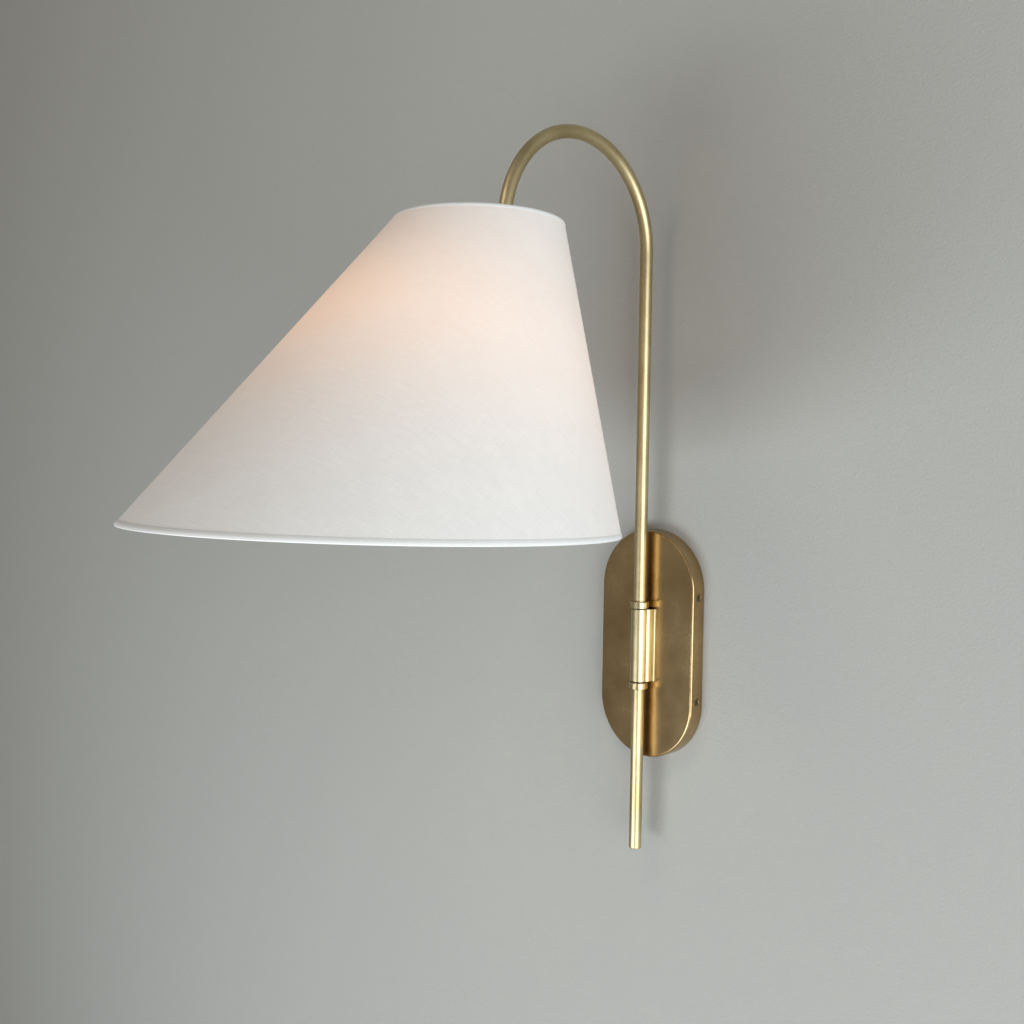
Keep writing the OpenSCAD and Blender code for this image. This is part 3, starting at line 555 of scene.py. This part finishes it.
# ---- Bands on the shade's edges ---------------------------------------------------------
# Narrow linen tape, folded over each edge and glued. The lower one is rolled round the
# bottom ring, so it stands a little proud.
SHEET_T = LINEN_T + LINER_T
TAPE_T = 0.0003
HEM_H = 0.004
top_band = shade_rings("shade_top_band", [
    (0.0026, 0.0001), (0.0020, 0.0004), (0.0006, 0.0005), (-0.0002, 0.0002),
    (-0.0004, -0.0006), (0.0002, -SHEET_T - TAPE_T), (0.0030, -SHEET_T - TAPE_T)])
hem_roll = shade_rings("shade_hem_roll", [
    (SHADE_H - HEM_H, 0.0001), (SHADE_H - HEM_H + 0.0004, 0.0004),
    (SHADE_H - 0.0019, 0.0006), (SHADE_H - 0.0010, 0.0005), (SHADE_H - 0.0001, 0.0),
    (SHADE_H + 0.0006, -0.0009), (SHADE_H + 0.0008, -0.0019), (SHADE_H + 0.0002, -0.0028),
    (SHADE_H - 0.0012, -0.0034), (SHADE_H - 0.0032, -0.0030)])
band_linen = woven_linen("linen_band", thread_count=1500, painted_glow=False)
for band, hidden in ((top_band, "shade_top_trim"), (hem_roll, "shade_bottom_trim")):
    map_flat(band)
    into_place(band)
    thicken(band, TAPE_T)
    band.data.materials.append(band_linen)
    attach(band, "arm")
    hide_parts(hidden)

# ---- Studio -----------------------------------------------------------------------------
# A plain rolled wall with an opening behind the wall plate, a grey floor, a large window on
# the right, cool light from low in front and weak warm light from above. From behind, the
# wall lets the eye through.
wall_grey, wall_tree, wall_shader = new_finish("studio_wall", (0.44, 0.435, 0.408), roughness=0.85)
wall_grain = noise(wall_tree, object_place(wall_tree), scale=420, detail=3)
bump(wall_tree, wall_shader, wall_grain, 0.0006, strength=0.6)
wall_see = wall_tree.nodes.new("ShaderNodeMixShader")
wall_clear = wall_tree.nodes.new("ShaderNodeBsdfTransparent")
wall_side = wall_tree.nodes.new("ShaderNodeNewGeometry")
wall_tree.links.new(wall_side.outputs["Backfacing"], wall_see.inputs["Fac"])
wall_tree.links.new(wall_shader.outputs["BSDF"], wall_see.inputs[1])
wall_tree.links.new(wall_clear.outputs["BSDF"], wall_see.inputs[2])
wall_tree.links.new(
    wall_see.outputs["Shader"], wall_tree.nodes["Material Output"].inputs["Surface"])
wall_middle = (0, 0.0006, 0)
wall_growth = (60, 1, 30)
opening_inset = 0.004
plate_low, plate_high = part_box("wall_plate")
opening_r = plate_high[0] - opening_inset
opening_reach = plate_high[2] - plate_high[0]
bpy.ops.object.select_all(action="DESELECT")
bpy.ops.mesh.primitive_circle_add(
    vertices=64, radius=opening_r, location=wall_middle, rotation=(math.pi / 2, 0, 0))
wall = bpy.context.object
wall.name = "studio_wall"
bpy.ops.object.transform_apply(location=True, rotation=True, scale=True)
for vertex in wall.data.vertices:
    vertex.co.z += math.copysign(opening_reach, vertex.co.z)
bpy.ops.object.mode_set(mode="EDIT")
bpy.ops.mesh.select_all(action="SELECT")
bpy.ops.mesh.extrude_edges_move(TRANSFORM_OT_translate={"value": (0, 0, 0)})
bpy.ops.transform.resize(value=wall_growth, center_override=wall_middle)
bpy.ops.mesh.select_all(action="SELECT")
wall_mesh = bmesh.from_edit_mesh(wall.data)
wall_mesh.faces.ensure_lookup_table()
wall_mesh.faces[0].normal_update()
if wall_mesh.faces[0].normal.y > 0:
    bpy.ops.mesh.flip_normals()
bpy.ops.object.mode_set(mode="OBJECT")
wall.data.materials.append(wall_grey)
floor_middle = (0, 0, -1.6)
bpy.ops.mesh.primitive_plane_add(size=12, location=floor_middle)
floor = bpy.context.object
floor.name = "studio_floor"
floor_grey = new_finish("studio_floor", (0.5, 0.5, 0.5), roughness=0.8)[0]
floor.data.materials.append(floor_grey)


def softbox(name, at, aim, width, height, power, colour):
    """A rectangular area light that points at a spot; sizes in metres, power in watts."""
    light = bpy.data.lights.new(name, "AREA")
    light.shape = "RECTANGLE"
    light.size = width
    light.size_y = height
    light.energy = power
    light.color = colour
    box = bpy.data.objects.new(name, light)
    bpy.context.scene.collection.objects.link(box)
    box.location = at
    box.rotation_euler = (Vector(aim) - Vector(at)).to_track_quat("-Z", "Y").to_euler()


softbox("window", at=(2.45, -1.0, -0.35), aim=(0, -0.1, 0.05), width=2.2, height=2.0,
        power=60, colour=(0.88, 0.95, 1.0))
softbox("low_sky", at=(-0.2, -2.0, -1.0), aim=(0, 0, -0.45), width=1.6, height=0.8,
        power=26, colour=(0.86, 0.94, 1.0))
softbox("room_lamp", at=(-0.4, -2.6, 2.0), aim=(0, -0.3, 0.3), width=1.0, height=1.0,
        power=9, colour=(1.0, 0.88, 0.72))
world = bpy.data.worlds.new("studio_air")
world.use_nodes = True
air = world.node_tree.nodes["Background"]
air.inputs["Color"].default_value = (0.54, 0.52, 0.49, 1)
air.inputs["Strength"].default_value = 0.47
bpy.context.scene.world = world
bpy.context.scene.view_settings.view_transform = "Standard"
